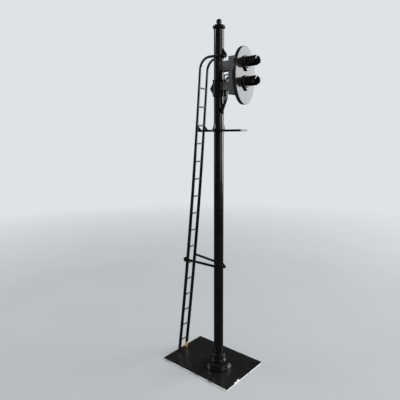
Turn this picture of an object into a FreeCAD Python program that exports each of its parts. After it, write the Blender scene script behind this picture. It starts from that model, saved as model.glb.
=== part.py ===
import FreeCAD, Part
import math
import os

import Sketcher

from FreeCAD import Placement, Rotation, Vector

# A model railway signal mast, in millimetres. The origin is on the mast's axis at the underside of
# the base plate. +Z is up the mast, +X is the way the lamps face, and the ladder stands at -X.

SIZES = (
    # Base plate: how far it reaches from the mast's axis, its thickness and its corner radius.
    ("plate_back", 22.4),
    ("plate_front", 13.3),
    ("plate_left", 11.6),
    ("plate_right", 14.1),
    ("plate_thick", 0.5),
    ("plate_corner", 0.4),
    # Mast tube, and the clearance round it in the pieces that it passes through.
    ("mast_radius", 2.0),
    ("mast_bore", 1.6),
    ("mast_top", 141.0),
    ("mast_fit", 2.02),
    ("wire_hole_radius", 1.5),
    ("wire_hole_height", 109.6),
    # Mast foot, from the plate upwards: flange, step, bead and collar.
    ("flange_radius", 5.85),
    ("flange_top", 1.7),
    ("step_radius", 5.4),
    ("step_top", 2.7),
    ("cone_radius", 4.55),
    ("waist_radius", 3.1),
    ("bead_radius", 3.5),
    ("bead_low", 3.3),
    ("bead_top", 4.1),
    ("collar_radius", 3.02),
    ("collar_top", 6.6),
    ("foot_round", 0.22),
    # Finial.
    ("brim_radius", 2.53),
    ("brim_height", 141.8),
    ("dome_radius", 1.7),
    ("dome_height", 142.7),
    ("dome_bulge", 0.11),
    ("neck_radius", 0.95),
    ("neck_height", 143.2),
    ("neck_dip", 0.07),
    ("ball_radius", 1.1),
    ("finial_top", 145.1),
    ("spigot_radius", 1.57),
    ("spigot_length", 3.0),
    # Ladder rails: flat strips that lean on the mast, bow towards it and curve over into a strap.
    ("rail_middle", 2.3),
    ("rail_thick", 0.55),
    ("rail_foot", 21.18),
    ("rail_foot_width", 1.45),
    ("rail_half_width", 1.4),
    ("rail_top_width", 0.95),
    ("rail_bow", 0.92),
    ("bend_radius", 4.6),
    ("bend_back", 3.25),
    ("bend_lean", 4.4),
    ("strap_height", 130.7),
    ("strap_turn", 1.05),
    ("nose_reach", 4.0),
    # Ladder rungs.
    ("rung_radius", 0.3),
    ("rung_hole", 0.31),
    ("rung_first", 5.7),
    ("rung_pitch", 7.55),
    ("rung_total", 16),
    ("rung_reach", 2.72),
    # Gusset in the nose of the two straps.
    ("gusset_thick", 0.5),
    ("gusset_low", 129.7),
    ("gusset_top", 133.6),
    ("gusset_heel", 0.7),
    ("gusset_tip", 3.85),
    # Lower ladder stays.
    ("stay_height", 45.3),
    ("stay_depth", 0.95),
    ("stay_thick", 0.5),
    ("stay_back", 16.3),
    ("stay_turn", 0.9),
    ("stay_toe", 2.3),
    ("stay_rise", 3.9),
    ("stay_gap", 0.18),
    ("stay_eye", 1.05),
    # Service platform, its collar and its two gussets at the ladder.
    ("deck_height", 101.2),
    ("deck_thick", 0.8),
    ("deck_front", 12.3),
    ("deck_shoulder", 9.08),
    ("deck_back", 10.5),
    ("deck_half", 2.3),
    ("deck_tongue", 2.0),
    ("deck_boss", 3.3),
    ("deck_collar_low", 2.6),
    ("deck_collar_high", 2.15),
    ("deck_collar_rise", 2.1),
    ("deck_collar_edge", 0.4),
    ("deck_gusset", 1.6),
    # Head clamp band and its rear fin.
    ("band_radius", 2.48),
    ("band_fit", 2.5),
    ("band_low", 115.1),
    ("band_high", 121.7),
    ("fin_reach", 4.34),
    ("fin_thick", 0.9),
    # Head bracket: two cheeks with a window between an upper and a lower arm, and a web.
    ("bracket_half", 1.7),
    ("bracket_inside", 1.25),
    ("bracket_web", 0.45),
    ("arm_start", 1.0),
    ("upper_arm_low", 124.7),
    ("upper_arm_high", 128.4),
    ("lower_arm_low", 117.3),
    ("lower_arm_high", 120.3),
    ("cable_hole", 1.3),
    ("cable_height", 122.5),
    # Lamp housing.
    ("housing_back", 6.8),
    ("housing_front", 12.2),
    ("housing_half", 3.0),
    ("housing_low", 115.3),
    ("housing_high", 129.6),
    ("housing_wall", 0.4),
    # Target plate.
    ("target_face", 12.8),
    ("target_sheet", 0.6),
    ("target_depth", 1.6),
    ("target_rim", 0.6),
    ("target_half_width", 6.53),
    ("target_half_height", 10.85),
    ("target_height", 122.2),
    # Lamps: a brass tube for each lamp, with a hood in front of the target and a bezel round it.
    ("upper_lamp", 127.1),
    ("lower_lamp", 119.8),
    ("hood_radius", 2.0),
    ("hood_bore", 1.55),
    ("hood_seat", 2.5),
    ("hood_reach", 5.5),
    ("hood_cut", 4.0),
    ("hood_cut_drop", 1.2),
    ("hood_slot", 0.9),
    ("hood_roll", 13.0),
    ("bezel_radius", 2.45),
    ("bezel_lip", 3.4),
    ("bezel_thick", 0.8),
    # LEDs and their leads.
    ("led_radius", 1.5),
    ("led_flange", 1.9),
    ("led_flange_thick", 1.0),
    ("led_length", 5.3),
    ("lead_width", 0.45),
    ("lead_spread", 1.27),
    ("lead_length", 0.6),
    # Wires.
    ("wire_radius", 0.25),
    ("wire_spacing", 0.55),
    ("wire_bend", 0.35),
    ("wire_drop", 3.4),
    ("wire_fan", 0.3),
    ("wire_rise", 0.7),
    ("wire_entry", 110.2),
    ("wire_slant", 2.4),
    ("wire_end", 0.4),
    ("wire_stand_off", 0.55),
    ("common_stand_off", 0.73),
    ("common_start", 1.5),
    # The gap left between two pieces that touch, and how far a cut runs past what it cuts.
    ("close_gap", 0.01),
    ("overshoot", 1.0),
)

UP = Vector(0, 0, 1)
ALONG_X = Rotation(Vector(0, 1, 0), 90)

doc = FreeCAD.newDocument("signal_mast")
dim = doc.addObject("Spreadsheet::Sheet", "dim")
for row, (alias, value) in enumerate(SIZES, 1):
    dim.set(f"A{row}", alias)
    dim.set(f"B{row}", str(value))
    dim.setAlias(f"B{row}", alias)
doc.recompute()

pieces = []


def size(alias):
    """A driving dimension, read from the sheet."""
    return float(dim.get(alias))


# ---- Helpers: bodies, sketches and features ----


def body_named(name):
    """A new body for one sub-part. Its label names the sub-part's file."""
    body = doc.addObject("PartDesign::Body", name)
    body.Label = name
    pieces.append(body)
    return body


def feature_named(name, shape):
    """A sub-part whose shape comes straight from Part's functions."""
    feature = doc.addObject("Part::Feature", name)
    feature.Label = name
    feature.Shape = shape
    pieces.append(feature)
    return feature


def sketch_on(body, role, name, lift=None):
    """An empty sketch on one of the body's own origin planes, lifted off it if lift is given."""
    plane = next(item for item in body.Origin.OriginFeatures if item.Role == role)
    sketch = body.newObject("Sketcher::SketchObject", name)
    sketch.AttachmentSupport = [(plane, "")]
    sketch.MapMode = "FlatFace"
    if lift:
        sketch.setExpression("AttachmentOffset.Base.z", lift)
    return sketch


def bind(sketch, expression, kind, *where):
    """Add one constraint to a sketch and bind its value to an expression."""
    index = sketch.addConstraint(Sketcher.Constraint(kind, *where, 1.0))
    sketch.setExpression(f"Constraints[{index}]", expression)


def polygon(sketch, corners):
    """A closed outline whose corners are pairs of expressions."""
    first = len(sketch.Geometry)
    total = len(corners)
    turn = 2 * math.pi / total
    rough = [Vector(math.cos(turn * k), math.sin(turn * k), 0) for k in range(total)]
    for k in range(total):
        sketch.addGeometry(Part.LineSegment(rough[k], rough[(k + 1) % total]), False)
    for k in range(total):
        after = first + (k + 1) % total
        sketch.addConstraint(Sketcher.Constraint("Coincident", first + k, 2, after, 1))
    for k, (across, along) in enumerate(corners):
        bind(sketch, across, "DistanceX", -1, 1, first + k, 1)
        bind(sketch, along, "DistanceY", -1, 1, first + k, 1)


def rectangle(sketch, left, right, low, high):
    """A rectangle between two pairs of expressions."""
    polygon(sketch, ((left, low), (right, low), (right, high), (left, high)))


def circle(sketch, radius, across=None, along=None):
    """A circle with a bound radius, on the sketch's origin unless a centre is given."""
    index = sketch.addGeometry(Part.Circle(Vector(0.1, 0.1, 0), UP, 1.0), False)
    bind(sketch, radius, "Radius", index)
    if across is None:
        sketch.addConstraint(Sketcher.Constraint("Coincident", index, 3, -1, 1))
    else:
        bind(sketch, across, "DistanceX", -1, 1, index, 3)
        bind(sketch, along, "DistanceY", -1, 1, index, 3)


def pad(body, sketch, name, length, symmetric=False, reverse=False):
    """Raise a sketch into a solid."""
    feature = body.newObject("PartDesign::Pad", name)
    feature.Profile = sketch
    feature.setExpression("Length", length)
    feature.Reversed = reverse
    if symmetric:
        feature.SideType = "Symmetric"
    doc.recompute()
    return feature


def pocket(body, sketch, name, length, symmetric=False, reverse=False):
    """Cut a sketch out of the body, and make sure that it took something away."""
    before = body.Shape.Volume
    feature = body.newObject("PartDesign::Pocket", name)
    feature.Profile = sketch
    feature.setExpression("Length", length)
    feature.Reversed = reverse
    if symmetric:
        feature.SideType = "Symmetric"
    doc.recompute()
    if body.Shape.Volume > before - 1e-6:
        raise RuntimeError(f"{name} cuts nothing from {body.Label}")
    return feature


def revolution(body, sketch, name):
    """Turn a half profile all the way round the sketch's vertical axis."""
    feature = body.newObject("PartDesign::Revolution", name)
    feature.Profile = sketch
    feature.ReferenceAxis = (sketch, ["V_Axis"])
    feature.Angle = 360
    doc.recompute()
    return feature


def edges_where(shape, wanted):
    """Names of the edges that a test picks out."""
    return [f"Edge{k}" for k, edge in enumerate(shape.Edges, 1) if wanted(edge)]


def fillet(body, base, name, radius, wanted):
    """Round the edges of a feature that a test picks out."""
    feature = body.newObject("PartDesign::Fillet", name)
    feature.Base = (base, edges_where(base.Shape, wanted))
    feature.setExpression("Radius", radius)
    doc.recompute()
    return feature


def bent_wire(corners, bend, radius):
    """A round wire that runs straight between corners and turns through an arc at each of them."""
    edges = []
    start = corners[0]
    for corner, after in zip(corners[1:], corners[2:]):
        back = (start - corner).normalize()
        ahead = (after - corner).normalize()
        half_angle = back.getAngle(ahead) / 2
        set_back = bend / math.tan(half_angle)
        inward = (back + ahead).normalize()
        middle = corner + inward * (bend / math.sin(half_angle) - bend)
        turn_in = corner + back * set_back
        turn_out = corner + ahead * set_back
        edges.append(Part.LineSegment(start, turn_in).toShape())
        edges.append(Part.Arc(turn_in, middle, turn_out).toShape())
        start = turn_out
    edges.append(Part.LineSegment(start, corners[-1]).toShape())
    section = Part.Circle(corners[0], corners[1] - corners[0], radius).toShape()
    return Part.Wire(edges).makePipeShell([Part.Wire([section])], True, True)


# ---- Base plate, foot, mast and finial ----


def base_plate():
    """Thin sheet with rounded corners and a hole for the wires."""
    body = body_named("base_plate")
    outline = sketch_on(body, "XY_Plane", "plate_outline")
    rectangle(outline, "-dim.plate_back", "dim.plate_front", "-dim.plate_left", "dim.plate_right")
    sheet = pad(body, outline, "plate_sheet", "dim.plate_thick")
    thick = size("plate_thick")

    def upright(edge):
        return abs(edge.BoundBox.ZLength - thick) < 1e-6

    fillet(body, sheet, "plate_corners", "dim.plate_corner", upright)
    hole = sketch_on(body, "XY_Plane", "plate_hole")
    circle(hole, "dim.mast_bore")
    pocket(body, hole, "plate_wire_hole", "dim.plate_thick", reverse=True)


def mast_foot():
    """Turned foot: flange, step, cone, bead and collar, with its sharp rings rounded."""
    body = body_named("mast_foot")
    profile = sketch_on(body, "XZ_Plane", "foot_profile")
    polygon(
        profile,
        (
            ("dim.mast_fit", "dim.plate_thick"),
            ("dim.flange_radius", "dim.plate_thick"),
            ("dim.flange_radius", "dim.flange_top"),
            ("dim.step_radius", "dim.flange_top"),
            ("dim.step_radius", "dim.step_top"),
            ("dim.cone_radius", "dim.step_top"),
            ("dim.waist_radius", "dim.bead_low"),
            ("dim.bead_radius", "dim.bead_low"),
            ("dim.bead_radius", "dim.bead_top"),
            ("dim.collar_radius", "dim.bead_top"),
            ("dim.collar_radius", "dim.collar_top"),
            ("dim.mast_fit", "dim.collar_top"),
        ),
    )
    turned = revolution(body, profile, "foot_turning")
    rings = (
        (size("flange_radius"), size("flange_top")),
        (size("step_radius"), size("step_top")),
        (size("bead_radius"), size("bead_low")),
        (size("bead_radius"), size("bead_top")),
        (size("collar_radius"), size("collar_top")),
    )

    def sharp_ring(edge):
        box = edge.BoundBox
        flat = box.ZLength < 1e-6
        return flat and any(
            abs(box.XLength / 2 - radius) < 0.01 and abs(box.ZMin - height) < 0.01
            for radius, height in rings
        )

    fillet(body, turned, "foot_rounding", "dim.foot_round", sharp_ring)


def mast_tube():
    """Tube from the plate's top to the finial, with a wire hole below the lamps."""
    body = body_named("mast_tube")
    ring = sketch_on(body, "XY_Plane", "mast_ring", "dim.plate_thick")
    circle(ring, "dim.mast_radius")
    circle(ring, "dim.mast_bore")
    pad(body, ring, "mast_wall", "dim.mast_top - dim.plate_thick")
    hole = sketch_on(body, "YZ_Plane", "mast_hole_outline")
    circle(hole, "dim.wire_hole_radius", "0", "dim.wire_hole_height")
    pocket(body, hole, "mast_wire_hole", "dim.mast_radius + dim.overshoot", reverse=True)


def finial_cap():
    """Turned cap: a spigot inside the tube, a brim, a dome, and a ball on a short neck."""
    body = body_named("finial_cap")
    profile = sketch_on(body, "XZ_Plane", "finial_profile")
    seat = size("mast_top")
    top = size("finial_top")
    ball = size("ball_radius")
    neck = size("neck_radius")
    neck_height = size("neck_height")
    brim = size("brim_radius")
    brim_height = size("brim_height")
    dome = Vector(size("dome_radius"), size("dome_height"), 0)
    spigot = size("spigot_radius")
    brim_edge = Vector(brim, brim_height, 0)
    under_brim = Vector(size("mast_radius"), seat, 0)
    neck_edge = Vector(neck, neck_height, 0)
    ball_side = Vector(ball, top - ball, 0)
    tip = Vector(0, top, 0)
    foot = seat - size("spigot_length")
    straight = (
        (tip, Vector(0, foot, 0)),
        (Vector(0, foot, 0), Vector(spigot, foot, 0)),
        (Vector(spigot, foot, 0), Vector(spigot, seat, 0)),
        (Vector(spigot, seat, 0), under_brim),
        (under_brim, brim_edge),
    )
    for start, end in straight:
        profile.addGeometry(Part.LineSegment(start, end), False)
    bulge = size("dome_bulge")
    shoulder = Vector((brim + dome.x) / 2 + bulge, (brim_height + dome.y) / 2 + bulge, 0)
    profile.addGeometry(Part.Arc(brim_edge, shoulder, dome), False)
    dip = size("neck_dip")
    hollow = Vector((dome.x + neck) / 2 - dip, (dome.y + neck_height) / 2 - dip, 0)
    profile.addGeometry(Part.Arc(dome, hollow, neck_edge), False)
    profile.addGeometry(Part.LineSegment(neck_edge, ball_side), False)
    slant = ball * math.sqrt(0.5)
    profile.addGeometry(Part.Arc(ball_side, Vector(slant, top - ball + slant, 0), tip), False)
    revolution(body, profile, "finial_turning")


# ---- Ladder ----


def side_outline():
    """Rail seen from the side, as a face: foot, bow, bend over the top and level strap."""
    foot_height = size("plate_thick")
    centre = Vector(-size("bend_back"), 0, size("strap_height") - size("bend_radius"))
    half_top = size("rail_top_width") / 2
    lean = math.radians(size("bend_lean"))

    def bend_point(radius, angle):
        return centre + Vector(-radius * math.cos(angle), 0, radius * math.sin(angle))

    def edge_points(side):
        radius = size("bend_radius") - side * half_top
        start = Vector(-size("rail_foot") + side * size("rail_foot_width") / 2, 0, foot_height)
        top = bend_point(radius, lean)
        middle_x = (-size("rail_foot") + bend_point(size("bend_radius"), lean).x) / 2 + size("rail_bow")
        middle = Vector(middle_x + side * size("rail_half_width") / 2, 0, (foot_height + top.z) / 2)
        round_point = bend_point(radius, (lean + math.pi / 2) / 2)
        over = bend_point(radius, math.pi / 2)
        return start, middle, top, round_point, over

    outer = edge_points(-1)
    inner = edge_points(1)
    outer_end = Vector(0, 0, outer[4].z)
    inner_end = Vector(0, 0, inner[4].z)
    edges = [
        Part.Arc(outer[0], outer[1], outer[2]).toShape(),
        Part.Arc(outer[2], outer[3], outer[4]).toShape(),
        Part.LineSegment(outer[4], outer_end).toShape(),
        Part.LineSegment(outer_end, inner_end).toShape(),
        Part.LineSegment(inner_end, inner[4]).toShape(),
        Part.Arc(inner[4], inner[3], inner[2]).toShape(),
        Part.Arc(inner[2], inner[1], inner[0]).toShape(),
        Part.LineSegment(inner[0], outer[0]).toShape(),
    ]
    return Part.Face(Part.Wire(edges))


def nose_outline(low, inside, thick, back, turn, reach, gap):
    """Plan of a strap on the +Y side: straight past the mast, then in to a point ahead of it."""
    outside = inside + thick
    slope = Vector(reach - turn, -outside, 0).normalize()
    set_back = thick / -slope.y
    inner_tip = reach - set_back
    inner_turn = inner_tip + inside * slope.x / slope.y
    gap_shift = gap * slope.x / slope.y
    return Part.makePolygon(
        [
            Vector(back, inside, low),
            Vector(inner_turn, inside, low),
            Vector(inner_tip + gap_shift, gap, low),
            Vector(reach + gap_shift, gap, low),
            Vector(turn, outside, low),
            Vector(back, outside, low),
            Vector(back, inside, low),
        ]
    )


def rung_places():
    """Height of each rung, and how far behind the mast's axis the leaning rail is there."""
    foot_height = size("plate_thick")
    centre_height = size("strap_height") - size("bend_radius")
    top_x = -size("bend_back") - size("bend_radius") * math.cos(math.radians(size("bend_lean")))
    run = centre_height - foot_height
    places = []
    for k in range(int(size("rung_total"))):
        height = size("rung_first") + k * size("rung_pitch")
        share = (height - foot_height) / run
        straight = -size("rail_foot") + (top_x + size("rail_foot")) * share
        places.append((straight + 4 * size("rail_bow") * share * (1 - share), height))
    return places


def rung_set(radius, reach):
    """All the rungs as separate rods across the ladder."""
    rods = [
        Part.makeCylinder(radius, 2 * reach, Vector(x, -reach, height), Vector(0, 1, 0))
        for x, height in rung_places()
    ]
    return Part.makeCompound(rods)


def ladder_rails():
    """Two mirrored rails, drilled for the rungs, each with half of the nose round the mast."""
    thick = size("rail_thick")
    inside = size("rail_middle") - thick / 2
    side = side_outline().extrude(Vector(0, thick, 0))
    side.translate(Vector(0, inside, 0))
    strap_low = size("strap_height") - size("rail_top_width") / 2
    turn = size("strap_turn")
    plan = nose_outline(strap_low, inside, thick, 0, turn, size("nose_reach"), size("close_gap"))
    nose = Part.Face(plan).extrude(Vector(0, 0, size("rail_top_width")))
    rail = side.fuse(nose).removeSplitter()
    rail = rail.cut(rung_set(size("rung_hole"), size("rung_reach") + size("overshoot")))
    feature_named("ladder_rail_right", rail)
    feature_named("ladder_rail_left", rail.mirror(Vector(0, 0, 0), Vector(0, 1, 0)))


def ladder_rungs():
    """Sixteen equal rungs, whose ends stand just proud of the rails."""
    feature_named("ladder_rungs", rung_set(size("rung_radius"), size("rung_reach")))


def ladder_top_gusset():
    """Small upright web that fills the nose of the two straps and tapers up the mast."""
    body = body_named("ladder_top_gusset")
    outline = sketch_on(body, "XZ_Plane", "gusset_outline")
    strap_top = "dim.strap_height + dim.rail_top_width / 2 + dim.close_gap"
    polygon(
        outline,
        (
            ("dim.mast_fit", "dim.gusset_low"),
            ("dim.mast_fit + dim.gusset_heel", "dim.gusset_low"),
            ("dim.mast_fit + dim.gusset_heel", strap_top),
            ("dim.gusset_tip", strap_top),
            ("dim.mast_fit", "dim.gusset_top"),
        ),
    )
    pad(body, outline, "gusset_web", "dim.gusset_thick", symmetric=True)


def ladder_stays():
    """Two straps from the rails round the mast. The left one ends in an eye behind its rail."""
    thick = size("stay_thick")
    depth = size("stay_depth")
    low = size("stay_height") - depth / 2
    inside = size("mast_fit")
    back = -size("stay_back")
    plan = nose_outline(low, inside, thick, back, size("stay_turn"), size("nose_reach"), size("stay_gap"))
    strap = Part.Face(plan).extrude(Vector(0, 0, depth))
    mirrored = strap.mirror(Vector(0, 0, 0), Vector(0, 1, 0))
    eye_centre = Vector(-size("stay_back"), -inside - thick, size("stay_height"))
    eye = Part.makeCylinder(size("stay_eye"), thick, eye_centre, Vector(0, 1, 0))
    left = feature_named("ladder_stay_left", mirrored.fuse(eye).removeSplitter())
    left.Placement = Placement(Vector(), Rotation(UP, size("stay_toe")))
    right = feature_named("ladder_stay_right", strap)
    pivot = Vector(0, 0, size("stay_height"))
    rise = Rotation(Vector(0, 1, 0), size("stay_rise"))
    toe = Rotation(UP, -size("stay_toe"))
    right.Placement = Placement(Vector(), toe).multiply(Placement(Vector(), rise, pivot))


# ---- Service platform ----


def service_platform():
    """Thin deck from between the rails to past the mast, with a round boss at the mast."""
    body = body_named("service_platform")
    deck = sketch_on(body, "XY_Plane", "deck_outline", "dim.deck_height")
    polygon(
        deck,
        (
            ("dim.deck_front", "-dim.deck_half"),
            ("dim.deck_front", "dim.deck_half"),
            ("-dim.deck_shoulder", "dim.deck_half"),
            ("-dim.deck_shoulder", "dim.deck_tongue"),
            ("-dim.deck_back", "dim.deck_tongue"),
            ("-dim.deck_back", "-dim.deck_tongue"),
            ("-dim.deck_shoulder", "-dim.deck_tongue"),
            ("-dim.deck_shoulder", "-dim.deck_half"),
        ),
    )
    pad(body, deck, "deck_sheet", "dim.deck_thick")
    boss = sketch_on(body, "XY_Plane", "deck_boss_outline", "dim.deck_height")
    circle(boss, "dim.deck_boss")
    pad(body, boss, "deck_boss_disc", "dim.deck_thick")
    hole = sketch_on(body, "XY_Plane", "deck_hole", "dim.deck_height")
    circle(hole, "dim.mast_fit")
    pocket(body, hole, "deck_mast_hole", "dim.deck_thick", reverse=True)


def platform_collar():
    """Soldered ring that tapers up the mast above the deck."""
    body = body_named("platform_collar")
    profile = sketch_on(body, "XZ_Plane", "deck_collar_profile")
    deck_top = "dim.deck_height + dim.deck_thick"
    polygon(
        profile,
        (
            ("dim.mast_fit", deck_top),
            ("dim.deck_collar_low", deck_top),
            ("dim.deck_collar_low", deck_top + " + dim.deck_collar_edge"),
            ("dim.deck_collar_high", deck_top + " + dim.deck_collar_rise"),
            ("dim.mast_fit", deck_top + " + dim.deck_collar_rise"),
        ),
    )
    revolution(body, profile, "deck_collar_turning")


def platform_gussets():
    """Two small triangles on the deck that brace it against the rails."""
    leg = size("deck_gusset")
    thick = size("gusset_thick") / 2
    top = size("deck_height") + size("deck_thick")
    start = -size("deck_shoulder")
    corners = [
        Vector(start, 0, top),
        Vector(start + leg, 0, top),
        Vector(start, 0, top + leg),
        Vector(start, 0, top),
    ]
    triangle = Part.Face(Part.makePolygon(corners)).extrude(Vector(0, thick, 0))
    outer = size("deck_half") - thick
    right = triangle.translated(Vector(0, outer, 0))
    left = triangle.translated(Vector(0, -outer - thick, 0))
    feature_named("platform_gussets", Part.makeCompound([left, right]))


# ---- Head: clamp, bracket, housing and target ----


def head_clamp_band():
    """Band round the mast, with a pinched fin behind that comes to a point."""
    body = body_named("head_clamp_band")
    fin = sketch_on(body, "XZ_Plane", "fin_outline")
    middle = "(dim.band_low + dim.band_high) / 2"
    polygon(
        fin,
        (
            ("0", "dim.band_low"),
            ("0", "dim.band_high"),
            ("-dim.mast_fit", "dim.band_high"),
            ("-dim.fin_reach", middle),
            ("-dim.mast_fit", "dim.band_low"),
        ),
    )
    pad(body, fin, "band_fin", "dim.fin_thick", symmetric=True)
    ring = sketch_on(body, "XY_Plane", "band_outline", "dim.band_low")
    circle(ring, "dim.band_radius")
    pad(body, ring, "band_disc", "dim.band_high - dim.band_low")
    hole = sketch_on(body, "XY_Plane", "band_hole", "dim.band_low")
    circle(hole, "dim.mast_fit")
    pocket(body, hole, "band_mast_hole", "dim.band_high - dim.band_low", reverse=True)


def head_bracket():
    """Folded channel: a web on the housing, and two pairs of arms coped round the mast."""
    body = body_named("head_bracket")
    web_front = "dim.housing_back"
    web_back = "dim.housing_back - dim.bracket_web"
    web = sketch_on(body, "XZ_Plane", "web_outline")
    rectangle(web, web_back, web_front, "dim.lower_arm_low", "dim.upper_arm_high")
    pad(body, web, "bracket_web_plate", "2 * dim.bracket_half", symmetric=True)
    arms = sketch_on(body, "XZ_Plane", "arm_outline")
    rectangle(arms, "dim.arm_start", web_back, "dim.upper_arm_low", "dim.upper_arm_high")
    rectangle(arms, "dim.arm_start", web_back, "dim.lower_arm_low", "dim.lower_arm_high")
    pad(body, arms, "bracket_arms", "2 * dim.bracket_half", symmetric=True)
    inside = sketch_on(body, "XZ_Plane", "arm_hollow")
    rectangle(inside, "0", web_back, "dim.lower_arm_low", "dim.upper_arm_high")
    pocket(body, inside, "bracket_hollow", "2 * dim.bracket_inside", symmetric=True)
    cope = sketch_on(body, "XY_Plane", "upper_cope", "dim.upper_arm_low")
    circle(cope, "dim.mast_fit")
    upper = "dim.upper_arm_high - dim.upper_arm_low"
    pocket(body, cope, "bracket_upper_cope", upper, reverse=True)
    band_cope = sketch_on(body, "XY_Plane", "lower_cope", "dim.lower_arm_low")
    circle(band_cope, "dim.band_fit")
    lower = "dim.lower_arm_high - dim.lower_arm_low"
    pocket(body, band_cope, "bracket_lower_cope", lower, reverse=True)
    cable = sketch_on(body, "YZ_Plane", "web_hole")
    circle(cable, "dim.cable_hole", "0", "dim.cable_height")
    pocket(body, cable, "bracket_cable_hole", web_front, reverse=True)


def lamp_housing():
    """Folded box behind the target, open at the front, with a wire hole in its back."""
    body = body_named("lamp_housing")
    outline = sketch_on(body, "YZ_Plane", "housing_outline", "dim.housing_back")
    rectangle(outline, "-dim.housing_half", "dim.housing_half", "dim.housing_low", "dim.housing_high")
    pad(body, outline, "housing_block", "dim.housing_front - dim.housing_back")
    inside = "dim.housing_half - dim.housing_wall"
    hollow = sketch_on(body, "YZ_Plane", "housing_hollow", "dim.housing_back + dim.housing_wall")
    rectangle(
        hollow,
        f"-({inside})",
        inside,
        "dim.housing_low + dim.housing_wall",
        "dim.housing_high - dim.housing_wall",
    )
    pocket(body, hollow, "housing_inside", "dim.housing_front", reverse=True)
    cable = sketch_on(body, "YZ_Plane", "housing_hole")
    circle(cable, "dim.cable_hole", "0", "dim.cable_height")
    pocket(body, cable, "housing_cable_hole", "dim.housing_back + dim.overshoot", reverse=True)


def oval(sketch, shrink):
    """The target's oval outline, drawn smaller by a margin."""
    centre = Vector(0, size("target_height"), 0)
    tall = Vector(0, size("target_half_height") - shrink, 0)
    wide = Vector(size("target_half_width") - shrink, 0, 0)
    sketch.addGeometry(Part.Ellipse(centre + tall, centre + wide, centre), False)


def target_plate():
    """Oval disc with a rim turned back, and a hole for each lamp tube."""
    body = body_named("target_plate")
    outline = sketch_on(body, "YZ_Plane", "target_outline", "dim.target_face")
    oval(outline, 0)
    pad(body, outline, "target_disc", "dim.target_depth", reverse=True)
    hollow = sketch_on(body, "YZ_Plane", "target_hollow", "dim.target_face - dim.target_sheet")
    oval(hollow, size("target_rim"))
    pocket(body, hollow, "target_back", "dim.target_depth")
    holes = sketch_on(body, "YZ_Plane", "target_holes", "dim.target_face")
    for lamp in ("upper_lamp", "lower_lamp"):
        circle(holes, "dim.mast_fit", "0", f"dim.{lamp}")
    pocket(body, holes, "target_lamp_holes", "dim.target_depth")


# ---- Lamps ----


def place_on_face(body, lamp):
    """Turn a body's own +Z to +X and set it on the target's face at a lamp's height."""
    body.Placement = Placement(Vector(), ALONG_X)
    body.setExpression("Placement.Base.x", "dim.target_face")
    body.setExpression("Placement.Base.z", f"dim.{lamp}")


def lamp_hood(lamp):
    """Lamp tube: round through the target, then a hood with its lower front cut away."""
    body = body_named(f"{lamp}_hood")
    ring = sketch_on(body, "XY_Plane", f"{lamp}_hood_ring", "-dim.hood_seat")
    circle(ring, "dim.hood_radius")
    circle(ring, "dim.hood_bore")
    pad(body, ring, f"{lamp}_hood_tube", "dim.hood_seat + dim.hood_reach")
    # Body +X points down once the hood is on the face.
    below = sketch_on(body, "XZ_Plane", f"{lamp}_hood_cut")
    polygon(
        below,
        (
            ("0", "dim.hood_reach + dim.overshoot"),
            ("0", "dim.hood_reach - dim.close_gap"),
            ("dim.hood_cut_drop", "dim.hood_cut"),
            ("dim.hood_cut_drop", "dim.hood_slot"),
            ("dim.hood_radius + dim.overshoot", "dim.hood_slot"),
            ("dim.hood_radius + dim.overshoot", "dim.hood_reach + dim.overshoot"),
        ),
    )
    pocket(body, below, f"{lamp}_hood_opening", "4 * dim.hood_radius", symmetric=True)
    place_on_face(body, lamp)
    roll = Rotation(Vector(1, 0, 0), -size("hood_roll"))
    body.Placement.Rotation = roll.multiply(ALONG_X)


def lamp_bezel(lamp):
    """Collar round the hood on the target's face, drawn down to a pointed lip."""
    body = body_named(f"{lamp}_bezel")
    drop = sketch_on(body, "XY_Plane", f"{lamp}_bezel_outline")
    radius = size("bezel_radius")
    lip = size("bezel_lip")
    # The lip's two sides leave the round part where they are tangent to it.
    slant = math.acos(radius / lip)
    touch = Vector(radius * math.cos(slant), radius * math.sin(slant), 0)
    other = Vector(touch.x, -touch.y, 0)
    point = Vector(lip, 0, 0)
    drop.addGeometry(Part.Arc(touch, Vector(-radius, 0, 0), other), False)
    drop.addGeometry(Part.LineSegment(other, point), False)
    drop.addGeometry(Part.LineSegment(point, touch), False)
    circle(drop, "dim.mast_fit")
    pad(body, drop, f"{lamp}_bezel_plate", "dim.bezel_thick")
    place_on_face(body, lamp)


def led(lamp):
    """LED with a flange behind the lamp tube and a domed body inside it."""
    body = body_named(lamp.replace("lamp", "led"))
    profile = sketch_on(body, "XZ_Plane", f"{lamp}_led_profile")
    radius = size("led_radius")
    flange = size("led_flange")
    base = -size("hood_seat") - size("led_flange_thick")
    seat = -size("hood_seat")
    tip = base + size("led_length")
    corners = (
        Vector(0, tip, 0),
        Vector(0, base, 0),
        Vector(flange, base, 0),
        Vector(flange, seat, 0),
        Vector(radius, seat, 0),
        Vector(radius, tip - radius, 0),
    )
    for start, end in zip(corners, corners[1:]):
        profile.addGeometry(Part.LineSegment(start, end), False)
    slant = radius * math.sqrt(0.5)
    crown = Vector(slant, tip - radius + slant, 0)
    profile.addGeometry(Part.Arc(corners[-1], crown, corners[0]), False)
    revolution(body, profile, f"{lamp}_led_turning")
    place_on_face(body, lamp)


def led_back():
    """How far in front of the mast's axis the LEDs' flat backs are."""
    return size("target_face") - size("hood_seat") - size("led_flange_thick")


def led_leads(lamp):
    """The two square legs of one LED, cut short."""
    width = size("lead_width")
    length = size("lead_length")
    legs = []
    for side in (-1, 1):
        corner = Vector(
            led_back() - length,
            side * size("lead_spread") - width / 2,
            size(lamp) - width / 2,
        )
        legs.append(Part.makeBox(length, width, width, corner))
    feature_named(lamp.replace("lamp", "led") + "_leads", Part.makeCompound(legs))


# ---- Wires ----


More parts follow.
